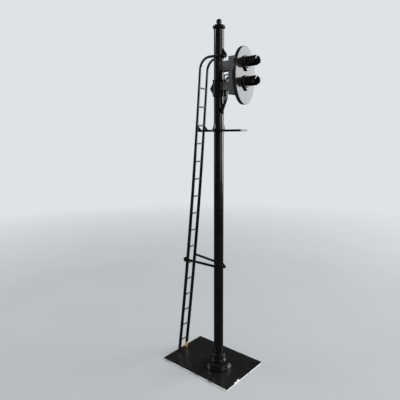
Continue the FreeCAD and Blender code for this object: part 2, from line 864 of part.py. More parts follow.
def lead_jumper():
    """Bare wire that joins the right-hand legs of the two LEDs."""
    radius = size("wire_radius")
    back = led_back() - size("lead_length")
    low = size("lower_lamp") - size("lead_width") / 2
    high = size("upper_lamp") + size("lead_width") / 2
    foot = Vector(back - radius - size("close_gap"), size("lead_spread"), low)
    feature_named("lead_jumper", Part.makeCylinder(radius, high - low, foot, UP))


def wires():
    """Common wire from the jumper, and one wire from the left leg of each LED."""
    spacing = size("wire_spacing")
    spread = size("lead_spread")
    lead_end = led_back() - size("lead_length") - size("close_gap")
    in_housing = size("housing_back") + size("housing_wall") + size("wire_stand_off")
    common_x = size("housing_back") + size("housing_wall") + size("common_stand_off")
    drop = size("wire_drop")
    fan = size("wire_fan")
    rise = size("wire_rise")
    cable = size("cable_height")
    upper = size("upper_lamp")
    lower = size("lower_lamp")
    slant = size("wire_slant")
    # For each wire: its side, how far ahead of the mast it hangs, its height at the web, its start.
    routes = {
        "common_wire": (
            spacing,
            drop + fan,
            cable,
            [Vector(common_x, spread, cable + size("common_start"))],
        ),
        "upper_lamp_wire": (
            -spacing,
            drop - fan,
            cable + rise,
            [Vector(lead_end, -spread, upper), Vector(in_housing, -spread, upper)],
        ),
        "lower_lamp_wire": (
            0,
            drop,
            cable - rise,
            [Vector(lead_end, -spread, lower), Vector(in_housing, -spread, lower)],
        ),
    }
    for name, (y, ahead, exit_height, inside) in routes.items():
        # Out through the housing's back, down past the band, into the tube and down to the base.
        knee = size("wire_entry") + slant * (ahead - size("mast_radius"))
        outside = [
            Vector(in_housing, y, exit_height),
            Vector(ahead, y, exit_height),
            Vector(ahead, y, knee),
            Vector(0, y, knee - slant * ahead),
            Vector(0, y, size("wire_end")),
        ]
        feature_named(name, bent_wire(inside + outside, size("wire_bend"), size("wire_radius")))


def check_and_export():
    """Stop on anything that failed, then write one file for each sub-part."""
    doc.recompute()
    failed = [
        item.Name for item in doc.Objects if "Invalid" in item.State or "Error" in item.State
    ]
    for piece in pieces:
        shape = piece.Shape
        if shape.isNull() or not shape.isValid() or not shape.Solids or shape.Volume <= 0:
            failed.append(piece.Label)
    if failed:
        raise RuntimeError("these did not build: " + ", ".join(failed))
    os.makedirs("parts", exist_ok=True)
    for piece in pieces:
        piece.Shape.exportStep(f"parts/{piece.Label}.step")


base_plate()
mast_foot()
mast_tube()
finial_cap()
ladder_rails()
ladder_rungs()
ladder_top_gusset()
ladder_stays()
service_platform()
platform_collar()
platform_gussets()
head_clamp_band()
head_bracket()
lamp_housing()
target_plate()
for lamp_name in ("upper_lamp", "lower_lamp"):
    lamp_hood(lamp_name)
    lamp_bezel(lamp_name)
    led(lamp_name)
    led_leads(lamp_name)
lead_jumper()
wires()
check_and_export()
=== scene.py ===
import math

import bmesh
import bpy
from mathutils import Matrix, Vector


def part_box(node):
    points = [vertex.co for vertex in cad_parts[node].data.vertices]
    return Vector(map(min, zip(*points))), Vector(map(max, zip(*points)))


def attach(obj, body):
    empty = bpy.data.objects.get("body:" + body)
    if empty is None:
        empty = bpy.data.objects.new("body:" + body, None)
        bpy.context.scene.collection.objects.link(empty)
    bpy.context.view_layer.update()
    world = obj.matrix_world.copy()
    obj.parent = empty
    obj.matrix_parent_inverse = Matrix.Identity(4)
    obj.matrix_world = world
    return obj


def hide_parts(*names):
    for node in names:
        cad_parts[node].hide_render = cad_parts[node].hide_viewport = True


# Looks of a model railway signal mast. Metres, in the CAD part's own frame: the mast's axis is the
# Z axis, the lamps face +X and the ladder stands at -X. MM turns millimetres into metres.

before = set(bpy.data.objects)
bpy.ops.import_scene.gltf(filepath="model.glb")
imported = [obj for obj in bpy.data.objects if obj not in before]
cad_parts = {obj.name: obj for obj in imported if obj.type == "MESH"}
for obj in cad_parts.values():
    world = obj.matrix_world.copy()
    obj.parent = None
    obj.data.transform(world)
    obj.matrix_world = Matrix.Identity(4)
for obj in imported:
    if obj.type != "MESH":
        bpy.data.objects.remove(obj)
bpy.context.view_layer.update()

MM = 0.001
# Sides of a round piece that asks for no other number.
FINE = 96
UP = Vector((0, 0, 1))

# The camera of the photo: a pinhole with a small vertical lens shift. The angles are in degrees.
CAMERA_PLACE = Vector((99.47, -127.78, 99.3)) * MM
CAMERA_TURN = 40.63
CAMERA_PITCH = 6.85
CAMERA_ROLL = -0.24
CAMERA_LENS = 35.6
CAMERA_SHIFT = -0.04

BLACK = (0.0028, 0.0028, 0.003)
BLACK_DUSTY = (0.0055, 0.0053, 0.005)
DUST = (0.34, 0.33, 0.3)
BRASS = (0.66, 0.47, 0.22)
# Pale metal of the plate's worn edges and sides, also used as a painted highlight where those edges catch the
# light.
PALE_METAL_AND_GLINT = (0.86, 0.85, 0.82)
# The room's colour as the eye sees it, and as glossy paint mirrors it.
ROOM = (0.74, 0.765, 0.79)
ROOM_IN_MIRRORS = (0.045, 0.047, 0.05)
# The floor starts to fade at one distance and matches the room at the other, in mm.
FADE_START = 150
FADE_END = 420
FLOOR_REACH = 9000

# Sizes in mm that several pieces share. The mast, then the ladder, then the head.
MAST_RADIUS = 2.0
MAST_BORE = 1.6
MAST_FIT = 2.02
PLATE_TOP = 0.5
RAIL_FOOT = -21.18
RAIL_BOW = 0.92
RAIL_MIDDLE = 2.3
RAIL_THICK = 0.55
RAIL_TOP_WIDTH = 0.95
STRAP_HEIGHT = 130.7
BEND_RADIUS = 4.6
BEND_BACK = -3.25
BEND_LEAN = 4.4
TARGET_FACE = 12.8
UPPER_LAMP = 127.1
LOWER_LAMP = 119.8
HOOD_RADIUS = 2.0
HOOD_BACK = 2.5
HOOD_FIT = 2.02
LED_FLANGE = 1.0


# ---- Mesh helpers ----


def piece_from(name, mesh, material, nodes=()):
    """A finished piece: it rides on the only body and stands for the CAD nodes that it replaces."""
    mesh.update()
    made = bpy.data.objects.new(name, mesh)
    bpy.context.scene.collection.objects.link(made)
    mesh.materials.append(material)
    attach(made, "root")
    if nodes:
        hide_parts(*nodes)
    return made


def mesh_from(name, build):
    """A mesh that a function fills in, with outward faces and smooth shading."""
    work = bmesh.new()
    build(work)
    bmesh.ops.recalc_face_normals(work, faces=work.faces)
    for face in work.faces:
        face.smooth = True
    mesh = bpy.data.meshes.new(name)
    work.to_mesh(mesh)
    work.free()
    return mesh


def rounded(corners, radius, closed=True, steps=4):
    """Corners of an outline, with each corner turned into a small arc. Works in two dimensions."""
    total = len(corners)
    made = []
    for k, corner in enumerate(corners):
        if not closed and k in (0, total - 1):
            made.append(Vector(corner))
            continue
        here = Vector(corner)
        before = Vector(corners[k - 1]) - here
        after = Vector(corners[(k + 1) % total]) - here
        angle = before.angle(after)
        if angle > math.radians(176):
            made.append(here)
            continue
        reach = min(radius / math.tan(angle / 2), before.length * 0.48, after.length * 0.48)
        bend = reach * math.tan(angle / 2)
        middle = here + (before.normalized() + after.normalized()).normalized() * (
            bend / math.sin(angle / 2)
        )
        first = here + before.normalized() * reach - middle
        last = here + after.normalized() * reach - middle
        sweep = first.angle_signed(last)
        for step in range(steps + 1):
            turned = first.copy()
            turned.rotate(Matrix.Rotation(-sweep * step / steps, 2))
            made.append(middle + turned)
    return made


def join_rings(work, rings, loop=False, caps=True):
    """Skin a row of rings that all have the same number of points."""
    made = [[work.verts.new(point) for point in ring] for ring in rings]
    total = len(made[0])
    pairs = list(zip(made, made[1:]))
    if loop:
        pairs.append((made[-1], made[0]))
    for ring, after in pairs:
        for k in range(total):
            k2 = (k + 1) % total
            work.faces.new((ring[k], ring[k2], after[k2], after[k]))
    if caps and not loop:
        work.faces.new(reversed(made[0]))
        work.faces.new(made[-1])


def lathe(work, profile, place=None, fine=FINE):
    """Turn (radius, height) pairs, in mm, about +Z. The profile is a closed outline."""
    spot = place or Matrix.Identity(4)
    on_axis = [k for k, (radius, height) in enumerate(profile) if radius < 1e-6]
    if on_axis:
        # A solid of revolution: start and end on the axis.
        first = on_axis[0]
        order = profile[first:] + profile[:first]
        bottom = work.verts.new(spot @ (Vector((0, 0, order[0][1])) * MM))
        top = work.verts.new(spot @ (Vector((0, 0, order[-1][1])) * MM))
        between = order[1:-1]
    else:
        between = profile
    rings = []
    for radius, height in between:
        ring = []
        for k in range(fine):
            turn = 2 * math.pi * k / fine
            flat = Vector((radius * math.cos(turn), radius * math.sin(turn), height))
            ring.append(work.verts.new(spot @ (flat * MM)))
        rings.append(ring)
    pairs = list(zip(rings, rings[1:]))
    if not on_axis:
        pairs.append((rings[-1], rings[0]))
    for ring, after in pairs:
        for k in range(fine):
            k2 = (k + 1) % fine
            work.faces.new((ring[k], ring[k2], after[k2], after[k]))
    if on_axis:
        for k in range(fine):
            k2 = (k + 1) % fine
            work.faces.new((bottom, rings[0][k2], rings[0][k]))
            work.faces.new((top, rings[-1][k], rings[-1][k2]))


def turned_mesh(name, outline, place=None, fine=FINE):
    """Mesh of an outline of points, in mm, turned about +Z."""
    return mesh_from(name, lambda work: lathe(work, [(p.x, p.y) for p in outline], place, fine))


def arc_path(corners, bend, steps=8):
    """A path in mm through corners, with each inner corner turned into an arc."""
    made = [Vector(corners[0])]
    for corner, after in zip(corners[1:], corners[2:]):
        here = Vector(corner)
        back = (Vector(made[-1]) - here).normalized()
        ahead = (Vector(after) - here).normalized()
        half = back.angle(ahead) / 2
        reach = bend / math.tan(half)
        middle = here + (back + ahead).normalized() * (bend / math.sin(half))
        axis = back.cross(ahead).normalized()
        first = here + back * reach - middle
        sweep = math.pi - 2 * half
        for step in range(steps + 1):
            turned = first.copy()
            turned.rotate(Matrix.Rotation(-sweep * step / steps, 3, axis))
            made.append(middle + turned)
    made.append(Vector(corners[-1]))
    return made


def sweep_round(work, path, radius, fine=20):
    """A round rod along a path in mm."""
    side = None
    rings = []
    for k, point in enumerate(path):
        before = path[max(k - 1, 0)]
        after = path[min(k + 1, len(path) - 1)]
        along = (after - before).normalized()
        if side is None:
            side = along.orthogonal().normalized()
        side = (side - along * side.dot(along)).normalized()
        up = along.cross(side)
        ring = []
        for step in range(fine):
            turn = 2 * math.pi * step / fine
            ring.append((point + side * radius * math.cos(turn) + up * radius * math.sin(turn)) * MM)
        rings.append(ring)
    join_rings(work, rings)


def capped_rod(work, start, end, radius, fine=20):
    """A rod with rounded ends between two points in mm."""
    along = end - start
    place = Matrix.Translation(start * MM) @ UP.rotation_difference(along).to_matrix().to_4x4()
    soft = radius * 0.45
    profile = [Vector((0, 0)), Vector((radius, 0)), Vector((radius, along.length)), Vector((0, along.length))]
    outline = rounded(profile, soft, closed=False)
    lathe(work, [(point.x, point.y) for point in outline], place, fine)


def box_of(node):
    """Lowest and highest corner of a CAD node, in mm."""
    low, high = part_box(node)
    return low / MM, high / MM


def cut_with(target, tools):
    """Cut closed helper meshes out of a mesh and return the result as a new mesh."""
    body = bpy.data.objects.new("cut_body", target)
    bpy.context.scene.collection.objects.link(body)
    helpers = []
    for tool in tools:
        helper = bpy.data.objects.new("cut_tool", tool)
        bpy.context.scene.collection.objects.link(helper)
        helpers.append(helper)
        change = body.modifiers.new("cut", "BOOLEAN")
        change.operation = "DIFFERENCE"
        change.solver = "EXACT"
        change.object = helper
    graph = bpy.context.evaluated_depsgraph_get()
    graph.update()
    made = bpy.data.meshes.new_from_object(body.evaluated_get(graph))
    for thing in [body] + helpers:
        bpy.data.objects.remove(thing)
    return made


def soften(thing, width, steps=2, angle=35):
    """Round the sharp edges of an object by a small width in mm, and keep its flats flat."""
    weld = thing.modifiers.new("weld", "WELD")
    weld.merge_threshold = 0.001 * MM
    bevel = thing.modifiers.new("bevel", "BEVEL")
    bevel.width = width * MM
    bevel.segments = steps
    bevel.limit_method = "ANGLE"
    bevel.angle_limit = math.radians(angle)
    bevel.harden_normals = True
    bevel.use_clamp_overlap = True
    for face in thing.data.polygons:
        face.use_smooth = True


def even_normals(thing):
    """Flat faces keep flat shading beside their rounded edges."""
    thing.modifiers.new("normals", "WEIGHTED_NORMAL")


# ---- Material helpers ----


def graph_for(name):
    """A new material with its node tree, its main shader and the object coordinates."""
    material = bpy.data.materials.new(name)
    material.use_nodes = True
    tree = material.node_tree
    shader = next(node for node in tree.nodes if node.type == "BSDF_PRINCIPLED")
    place = tree.nodes.new("ShaderNodeTexCoord")
    return material, tree, shader, place.outputs["Object"]


def noise(tree, place, scale, detail=4.0, rough=0.55):
    """Noise in object space. The scale is in features for each millimetre."""
    node = tree.nodes.new("ShaderNodeTexNoise")
    node.inputs["Scale"].default_value = scale / MM
    node.inputs["Detail"].default_value = detail
    node.inputs["Roughness"].default_value = rough
    tree.links.new(place, node.inputs["Vector"])
    return node.outputs["Fac"]


def remap(tree, value, low, high, to_low, to_high):
    """Stretch a value from one range to another, and hold it at the ends."""
    node = tree.nodes.new("ShaderNodeMapRange")
    node.clamp = True
    tree.links.new(value, node.inputs["Value"])
    node.inputs["From Min"].default_value = low
    node.inputs["From Max"].default_value = high
    node.inputs["To Min"].default_value = to_low
    node.inputs["To Max"].default_value = to_high
    return node.outputs["Result"]


def math_node(tree, operation, first, second):
    """One arithmetic step on values or sockets."""
    node = tree.nodes.new("ShaderNodeMath")
    node.operation = operation
    for socket, value in zip(node.inputs, (first, second)):
        if isinstance(value, (int, float)):
            socket.default_value = value
        else:
            tree.links.new(value, socket)
    return node.outputs["Value"]


def mix_colour(tree, share, first, second):
    """Mix two colours, each a colour or a socket, by a share."""
    node = tree.nodes.new("ShaderNodeMix")
    node.data_type = "RGBA"
    tree.links.new(share, node.inputs["Factor"])
    for socket, value in ((node.inputs[6], first), (node.inputs[7], second)):
        if isinstance(value, tuple):
            socket.default_value = value + (1.0,)
        else:
            tree.links.new(value, socket)
    return node.outputs[2]


def mix_value(tree, share, first, second):
    """Mix two values, each a number or a socket, by a share."""
    node = tree.nodes.new("ShaderNodeMix")
    node.data_type = "FLOAT"
    tree.links.new(share, node.inputs["Factor"])
    for socket, value in ((node.inputs[2], first), (node.inputs[3], second)):
        if isinstance(value, (int, float)):
            socket.default_value = value
        else:
            tree.links.new(value, socket)
    return node.outputs[0]


def edge_mask(tree, radius):
    """White where the surface turns sharply within a radius in mm, and black on flats."""
    bevel = tree.nodes.new("ShaderNodeBevel")
    bevel.samples = 4
    bevel.inputs["Radius"].default_value = radius * MM
    shape = tree.nodes.new("ShaderNodeNewGeometry")
    dot = tree.nodes.new("ShaderNodeVectorMath")
    dot.operation = "DOT_PRODUCT"
    tree.links.new(bevel.outputs["Normal"], dot.inputs[0])
    tree.links.new(shape.outputs["Normal"], dot.inputs[1])
    return remap(tree, dot.outputs["Value"], 0.99, 0.9, 0.0, 1.0)


def bump(tree, shader, layers):
    """Chain bump layers, each a height socket, its strength and its depth in mm."""
    normal = None
    for height, strength, depth in layers:
        node = tree.nodes.new("ShaderNodeBump")
        node.inputs["Strength"].default_value = strength
        node.inputs["Distance"].default_value = depth * MM
        tree.links.new(height, node.inputs["Height"])
        if normal is not None:
            tree.links.new(normal, node.inputs["Normal"])
        normal = node.outputs["Normal"]
    tree.links.new(normal, shader.inputs["Normal"])


def spot_mask(tree, place, centre, radius):
    """White inside a ragged ball round a place in mm, and black outside it."""
    away = tree.nodes.new("ShaderNodeVectorMath")
    away.operation = "DISTANCE"
    tree.links.new(place, away.inputs[0])
    away.inputs[1].default_value = Vector(centre) * MM
    ragged = remap(tree, noise(tree, place, 1.3, 5.0), 0.3, 0.7, -0.45, 0.45)
    reach = math_node(tree, "ADD", math_node(tree, "DIVIDE", away.outputs["Value"], radius * MM), ragged)
    return remap(tree, reach, 0.9, 1.05, 1.0, 0.0)


def lapped_paint(tree, place, base, root):
    """Ragged lap of the mast's black paint, up to a distance in mm ahead of the mast's axis."""
    spread = tree.nodes.new("ShaderNodeSeparateXYZ")
    tree.links.new(place, spread.inputs["Vector"])
    ragged = remap(tree, noise(tree, place, 1.1, 5.0), 0.3, 0.7, -0.5 * MM, 0.5 * MM)
    lap = math_node(tree, "ADD", spread.outputs["X"], ragged)
    covered = remap(tree, lap, (root - 0.1) * MM, (root + 0.1) * MM, 1.0, 0.0)
    return mix_colour(tree, covered, base, BLACK)


def lift_of_surface(tree):
    """The upward part of the surface's normal: 1 looks up, 0 is upright."""
    shape = tree.nodes.new("ShaderNodeNewGeometry")
    split = tree.nodes.new("ShaderNodeSeparateXYZ")
    tree.links.new(shape.outputs["Normal"], split.inputs["Vector"])
    return split.outputs["Z"]


def dust_mask(tree, place, lift, soil):
    """Specks of dust on faces that look up."""
    upward = remap(tree, lift, 0.55, 1.0, 0.0, 1.0)
    specks = remap(tree, noise(tree, place, 2.6, 6.0), 0.58, 0.74, 0.0, 1.0)
    return math_node(tree, "MULTIPLY", math_node(tree, "MULTIPLY", upward, specks), soil)


def wear_and_glint_mask(tree, place, lift, wear, edge, chips, bare_and_lit_sides):
    """White where the paint is gone, along edges in places, at chips and on upright sides. On the plate this
    pale also stands in for the light its edges and sides catch, a painted highlight.
    """
    rubbed = remap(
        tree, noise(tree, place, 0.55, 8.0, 0.62), 0.64 - wear * 0.3, 0.7 - wear * 0.3, 0.0, 1.0
    )
    wear_and_glint = math_node(tree, "MULTIPLY", edge_mask(tree, edge), rubbed)
    # Upright sides turn mostly pale: partly bare sheared metal, partly a painted highlight for the light that
    # the plate's sides catch.
    if bare_and_lit_sides:
        flatness = math_node(tree, "ABSOLUTE", lift, 0.0)
        sides = remap(tree, flatness, 0.5, 0.8, 1.0, 0.0)
        bare = remap(tree, noise(tree, place, 0.16, 6.0), 0.36, 0.46, 0.15, 0.9)
        wear_and_glint = math_node(tree, "MAXIMUM", wear_and_glint, math_node(tree, "MULTIPLY", sides, bare))
    for centre, radius in chips:
        wear_and_glint = math_node(tree, "MAXIMUM", wear_and_glint, spot_mask(tree, place, centre, radius))
    return wear_and_glint


def enamel(
    name,
    colour,
    dusty,
    shine,
    wear,
    gloss=1.45,
    peel=0.2,
    metal=BRASS,
    edge=0.09,
    chips=(),
    soil=0.18,
    bare_and_lit_sides=False,
    root=None,
):
    """Enamel over brass: colour clouds, dust on top, uneven shine, brush marks and worn edges. On the base
    plate the pale worn edges and sides are also a painted highlight for its lit edge line.

    chips are (place in mm, radius in mm) pairs where the paint is knocked off. The sides flag paints upright
    faces mostly pale: partly bare metal, partly a painted highlight for the light those sides catch. Behind
    root, a distance in mm, the mast's black paint laps over."""
    material, tree, shader, place = graph_for(name)
    clouds = noise(tree, place, 0.22, 5.0)
    base = mix_colour(tree, remap(tree, clouds, 0.35, 0.7, 0.0, 1.0), colour, dusty)
    if root is not None:
        base = lapped_paint(tree, place, base, root)
    lift = lift_of_surface(tree)
    dust = dust_mask(tree, place, lift, soil)
    base = mix_colour(tree, dust, base, DUST)
    wear_and_glint = wear_and_glint_mask(tree, place, lift, wear, edge, chips, bare_and_lit_sides)
    # Worn places take the metal's colour; on the plate this pale is partly a painted highlight for its lit
    # edges.
    base = mix_colour(tree, wear_and_glint, base, metal)
    tree.links.new(base, shader.inputs["Base Color"])
    # Scuffed metal scatters light, so a chip isn't a clean mirror. On the plate this also keeps the pale
    # sides and edges bright from any side, a painted highlight.
    shine_share = 0.15 if chips else 1.0
    tree.links.new(math_node(tree, "MULTIPLY", wear_and_glint, shine_share), shader.inputs["Metallic"])
    smears = noise(tree, place, 0.35, 6.0, 0.6)
    rough = remap(tree, smears, 0.3, 0.75, shine[0], shine[1])
    rough = mix_value(tree, dust, rough, 0.75)
    tree.links.new(mix_value(tree, wear_and_glint, rough, 0.38), shader.inputs["Roughness"])
    shader.inputs["IOR"].default_value = gloss
    bump(
        tree,
        shader,
        (
            (noise(tree, place, 0.9, 3.0), peel, 0.03),
            (noise(tree, place, 4.5, 4.0), peel * 0.6, 0.008),
            (math_node(tree, "SUBTRACT", 1.0, wear_and_glint), 0.5, 0.02),
        ),
    )
    return material


def bare_metal(name, colour, shine):
    """Tinned wire: pale metal with drawn lines and dull patches."""
    material, tree, shader, place = graph_for(name)
    dull = remap(tree, noise(tree, place, 1.1, 5.0), 0.4, 0.7, 0.0, 1.0)
    tree.links.new(
        mix_colour(tree, dull, colour, tuple(c * 0.55 for c in colour)), shader.inputs["Base Color"]
    )
    shader.inputs["Metallic"].default_value = 1.0
    tree.links.new(remap(tree, dull, 0, 1, shine[0], shine[1]), shader.inputs["Roughness"])
    bump(tree, shader, ((noise(tree, place, 6.0, 3.0), 0.4, 0.01),))
    return material


def cover(name, colour):
    """Soft plastic wire cover with faint mottling."""
    material, tree, shader, place = graph_for(name)
    mottle = remap(tree, noise(tree, place, 0.8, 4.0), 0.35, 0.7, 0.0, 1.0)
    tree.links.new(
        mix_colour(tree, mottle, colour, tuple(c * 1.9 for c in colour)), shader.inputs["Base Color"]
    )
    tree.links.new(remap(tree, mottle, 0, 1, 0.5, 0.7), shader.inputs["Roughness"])
    shader.inputs["Specular IOR Level"].default_value = 0.12
    bump(tree, shader, ((noise(tree, place, 3.5, 4.0), 0.35, 0.012),))
    return material


def lens(name, colour):
    """Tinted epoxy lamp body, a little cloudy."""
    material, tree, shader, place = graph_for(name)
    cloud = remap(tree, noise(tree, place, 0.9, 4.0), 0.35, 0.7, 0.0, 1.0)
    tree.links.new(
        mix_colour(tree, cloud, colour, tuple(c * 0.7 for c in colour)), shader.inputs["Base Color"]
    )
    tree.links.new(remap(tree, cloud, 0, 1, 0.08, 0.2), shader.inputs["Roughness"])
    shader.inputs["Transmission Weight"].default_value = 0.2
    shader.inputs["IOR"].default_value = 1.52
    bump(tree, shader, ((noise(tree, place, 2.2, 3.0), 0.15, 0.01),))
    return material


MATERIALS = {
    "black_paint": enamel("black_enamel", BLACK, BLACK_DUSTY, shine=(0.12, 0.26), wear=0.05),
    "rail_paint": enamel(
        "rail_enamel",
        BLACK,
        BLACK_DUSTY,
        shine=(0.14, 0.28),
        wear=0.25,
        chips=(((-20.7, 2.3, 1.2), 2.2),),
    ),
    "hood_paint": enamel(
        "hood_enamel", BLACK, BLACK_DUSTY, shine=(0.1, 0.2), wear=0.0, gloss=1.6, peel=0.12
    ),
    "plate_paint": enamel(
        "plate_enamel",
        (0.006, 0.006, 0.0065),
        (0.010, 0.010, 0.010),
        shine=(0.2, 0.34),
        # The plate's heavy edge wear and pale sides are partly real worn metal and partly a painted highlight
        # for its lit edge line.
        wear=0.75,
        metal=PALE_METAL_AND_GLINT,
        edge=0.14,
        chips=(((13.35, -3.6, 0.5), 1.0), ((13.3, -5.6, 0.5), 0.75)),
        soil=0.1,
        bare_and_lit_sides=True,
    ),
    "head_paint": enamel(
        "head_enamel",
        (0.03, 0.031, 0.033),
        (0.075, 0.077, 0.08),
        shine=(0.26, 0.42),
        wear=0.0,
        peel=0.4,
    ),
    "bracket_paint": enamel(
        "bracket_enamel",
        (0.035, 0.036, 0.038),
        (0.12, 0.123, 0.127),
        shine=(0.2, 0.34),
        wear=0.0,
        peel=0.6,
        root=3.2,
    ),
    "target_paint": enamel(
        "target_enamel",
        (0.008, 0.008, 0.0085),
        (0.014, 0.014, 0.014),
        shine=(0.1, 0.18),
        wear=0.0,
        gloss=1.5,
        peel=0.1,
    ),
    "tinned_wire": bare_metal("tinned_metal", (0.72, 0.71, 0.69), (0.22, 0.42)),
    "wire_cover": cover("black_wire_cover", (0.003, 0.003, 0.0032)),
    "red_lens": lens("red_epoxy", (0.016, 0.0008, 0.0007)),
    "green_lens": lens("green_epoxy", (0.0008, 0.009, 0.0026)),
}


# ---- Pieces that are finer than the CAD mesh ----


def mast_tube():
    """Mast tube with its bore and the wire hole."""
    low, high = box_of("mast_tube")
    outer = high.x
    soft = 0.06
    corners = [(MAST_BORE, low.z), (outer, low.z), (outer, high.z), (MAST_BORE, high.z)]
    tube = turned_mesh("mast_tube_fine", rounded(corners, soft), fine=128)
    # The wire hole looks along +X, through the front wall only.
    hole_radius = 1.5
    hole_start = Vector((0.5, 0, 109.6))
    hole_length = 3
    hole = Matrix.Translation(hole_start * MM) @ Matrix.Rotation(math.radians(90), 4, "Y")
    round_bar = [(0, 0), (hole_radius, 0), (hole_radius, hole_length), (0, hole_length)]
    drill = mesh_from("drill", lambda work: lathe(work, round_bar, hole, 48))
    mesh = cut_with(tube, [drill])
    made = piece_from("mast_tube_fine", mesh, MATERIALS["black_paint"], ("mast_tube",))
    even_normals(made)


def mast_foot():
    """Turned foot with soft edges: flange, step, cone, bead and collar, from the plate upwards."""
    low, high = box_of("mast_foot")
    flange = high.x
    flange_top = 1.7
    step = 5.4
    step_top = 2.7
    cone = 4.55
    waist = 3.1
    bead = 3.5
    bead_low = 3.3
    bead_top = 4.1
    collar = 3.02
    outline = [
        (MAST_FIT, low.z),
        (flange, low.z),
        (flange, flange_top),
        (step, flange_top),
        (step, step_top),
        (cone, step_top),
        (waist, bead_low),
        (bead, bead_low),
        (bead, bead_top),
        (collar, bead_top),
        (collar, high.z),
        (MAST_FIT, high.z),
    ]
    mesh = turned_mesh("mast_foot_fine", rounded(outline, 0.2, steps=5), fine=128)
    made = piece_from("mast_foot_fine", mesh, MATERIALS["hood_paint"], ("mast_foot",))
    even_normals(made)


def finial_cap():
    """Turned cap with its brim, dome, neck and ball."""
    low, high = box_of("finial_cap")
    seat = high.z - 4.1
    spigot = 1.57
    ball = 1.1
    neck = 0.95
    dome = 1.7
    dome_start = seat + 0.86
    dome_wide = 0.82
    dome_tall = 0.84
    neck_start = seat + 1.7
    neck_tall = 0.5
    under_brim = [(MAST_RADIUS, seat), (2.42, seat + 0.66), (2.52, seat + 0.78)]
    profile = [(0, low.z), (spigot, low.z), (spigot, seat)] + under_brim
    for step in range(9):
        turn = math.radians(90 * step / 8)
        profile.append((dome + dome_wide * math.cos(turn), dome_start + dome_tall * math.sin(turn)))
    for step in range(1, 7):
        turn = math.radians(90 * step / 6)
        radius = neck + (dome - neck) * (1 - math.sin(turn))
        profile.append((radius, neck_start + neck_tall * (1 - math.cos(turn))))
    # The ball starts a little below its own middle, where it leaves the neck.
    for step in range(12):
        turn = math.radians(-30 + 120 * step / 11)
        profile.append((ball * math.cos(turn), high.z - ball + ball * math.sin(turn)))
    profile[-1] = (0, high.z)
    mesh = mesh_from("finial_cap_fine", lambda work: lathe(work, profile))
    piece_from("finial_cap_fine", mesh, MATERIALS["black_paint"], ("finial_cap",))


def platform_collar():
    """Ring of solder round the mast on the deck."""
    low, high = box_of("platform_collar")
    rise = high.z - low.z
    # Solder is widest on the deck and narrows to the mast.
    wide = 2.6
    outline = [
        (MAST_FIT, low.z),
        (wide, low.z),
        (wide - 0.05, low.z + 0.4),
        (2.34, low.z + 0.5 * rise),
        (2.15, high.z),
        (MAST_FIT, high.z),
    ]
    mesh = turned_mesh("platform_collar_fine", rounded(outline, 0.07))
    piece_from("platform_collar_fine", mesh, MATERIALS["black_paint"], ("platform_collar",))


def bowed(foot, top, share):
    """Place along X on a leaning rail, with its slight bow, at a share of its height."""
    return foot + (top - foot) * share + 4 * RAIL_BOW * share * (1 - share)


def rail_line(steps):
    """Middle line of a rail seen from the side, as points, widths and leans, from foot to strap."""
    rail_low = box_of("ladder_rail_left")[0]
    foot = Vector((RAIL_FOOT, rail_low.z))
    foot_width = 1.45
    middle_width = 1.4
    centre = Vector((BEND_BACK, STRAP_HEIGHT - BEND_RADIUS))
    lean = math.radians(BEND_LEAN)
    top = centre + Vector((-BEND_RADIUS * math.cos(lean), BEND_RADIUS * math.sin(lean)))
    line = []
    for k in range(steps):
        share = k / steps
        z = foot.y + (top.y - foot.y) * share
        if share < 0.5:
            width = foot_width + (middle_width - foot_width) * 2 * share
        else:
            width = middle_width + (RAIL_TOP_WIDTH - middle_width) * (2 * share - 1)
        line.append((Vector((bowed(foot.x, top.x, share), z)), width))
    bend_steps = 24
    for k in range(bend_steps + 1):
        turn = lean + (math.pi / 2 - lean) * k / bend_steps
        on_bend = centre + Vector((-BEND_RADIUS * math.cos(turn), BEND_RADIUS * math.sin(turn)))
        line.append((on_bend, RAIL_TOP_WIDTH))
    return line


def strip_section(half_wide, half_thick, soft):
    """Rounded outline of a flat strip: across its width and through its thickness."""
    corners = [
        (-half_wide, -half_thick),
        (half_wide, -half_thick),
        (half_wide, half_thick),
        (-half_wide, half_thick),
    ]
    return rounded(corners, soft, steps=3)


